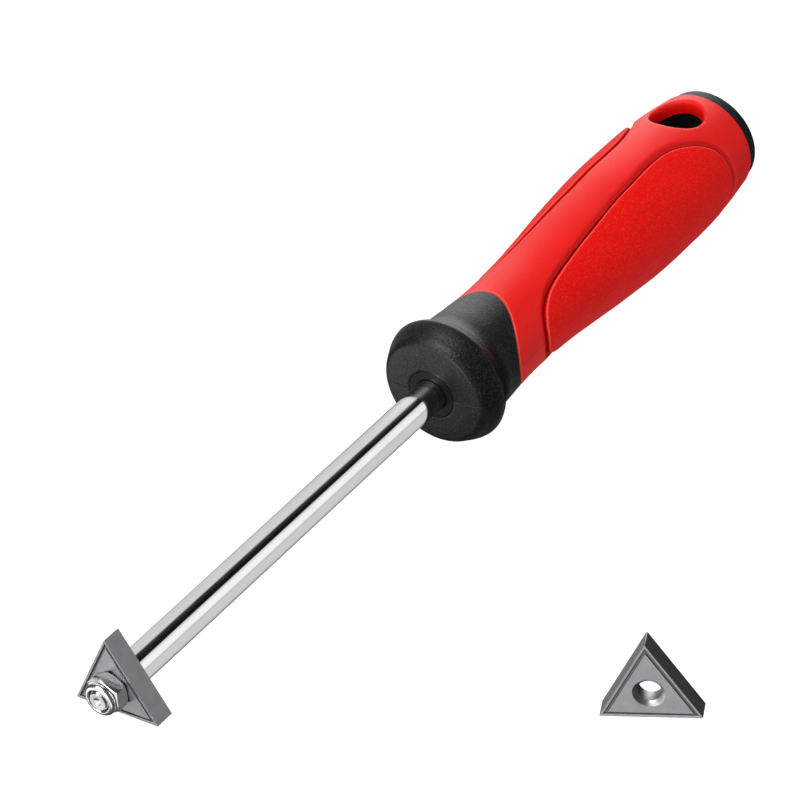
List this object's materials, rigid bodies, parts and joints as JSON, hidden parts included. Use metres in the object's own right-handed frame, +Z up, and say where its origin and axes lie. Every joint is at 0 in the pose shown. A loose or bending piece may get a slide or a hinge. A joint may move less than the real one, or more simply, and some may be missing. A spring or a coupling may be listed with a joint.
{
  "type": "grout scraper",
  "caption": "Hand grout scraper with a steel rod, a clamped triangular carbide insert, a guarded two-tone grip with a hang hole, and a loose spare insert.",
  "frame": {"origin": "on the table under the middle of the tool and its spare insert together", "axes": "+X along the tool from the insert to the butt, +Z up out of the table and along the hang hole"},
  "size_m": [0.2444, 0.1198, 0.0313],
  "materials": {
    "plated_steel": "polished plating",
    "carbide": "sintered, fine matt grain",
    "zinc_plated_steel": "bright zinc plating",
    "nylon": "plain moulded",
    "black_plastic": "fine grained",
    "core_plastic": "plain moulded",
    "red_grip": "smooth satin elastomer",
    "red_pad": "fine spark-grained elastomer",
    "cap_plastic": "satin moulded"
  },
  "bodies": {
    "scraper_body": {"shank": "plated_steel", "front_guard": "black_plastic", "handle_core": "core_plastic", "grip_sleeve": "red_grip", "left_grip_pad": "red_pad", "right_grip_pad": "red_pad", "end_cap": "cap_plastic"},
    "blade": {"carbide_insert": "carbide"},
    "nut_ring": {"lock_ring": "nylon"},
    "nut": {"lock_nut": "zinc_plated_steel"},
    "spare_blade": {"spare_insert": "carbide"}
  },
  "joints": [
    {"name": "insert_turn", "type": "hinge", "parent": "scraper_body", "child": "blade", "pos_m": [-0.11463, 0.044, 0.01567], "axis": [1, 0, 0], "continuous": true},
    {"name": "nut_travel", "type": "slide", "parent": "scraper_body", "child": "nut_ring", "axis": [-1, 0, 0], "range_m": [0, 0.0056]},
    {"name": "nut_turn", "type": "hinge", "parent": "nut_ring", "child": "nut", "pos_m": [-0.11955, 0.044, 0.01567], "axis": [-1, 0, 0], "range_deg": [0, 2520]},
    {"name": "spare_insert_lift", "type": "slide", "parent": "scraper_body", "child": "spare_blade", "axis": [0, 0, 1], "range_m": [0, 0.05]}
  ],
  "couplings": [
    {"joint": "nut_turn", "follows": "nut_travel", "rad_per_m": 7854}
  ]
}
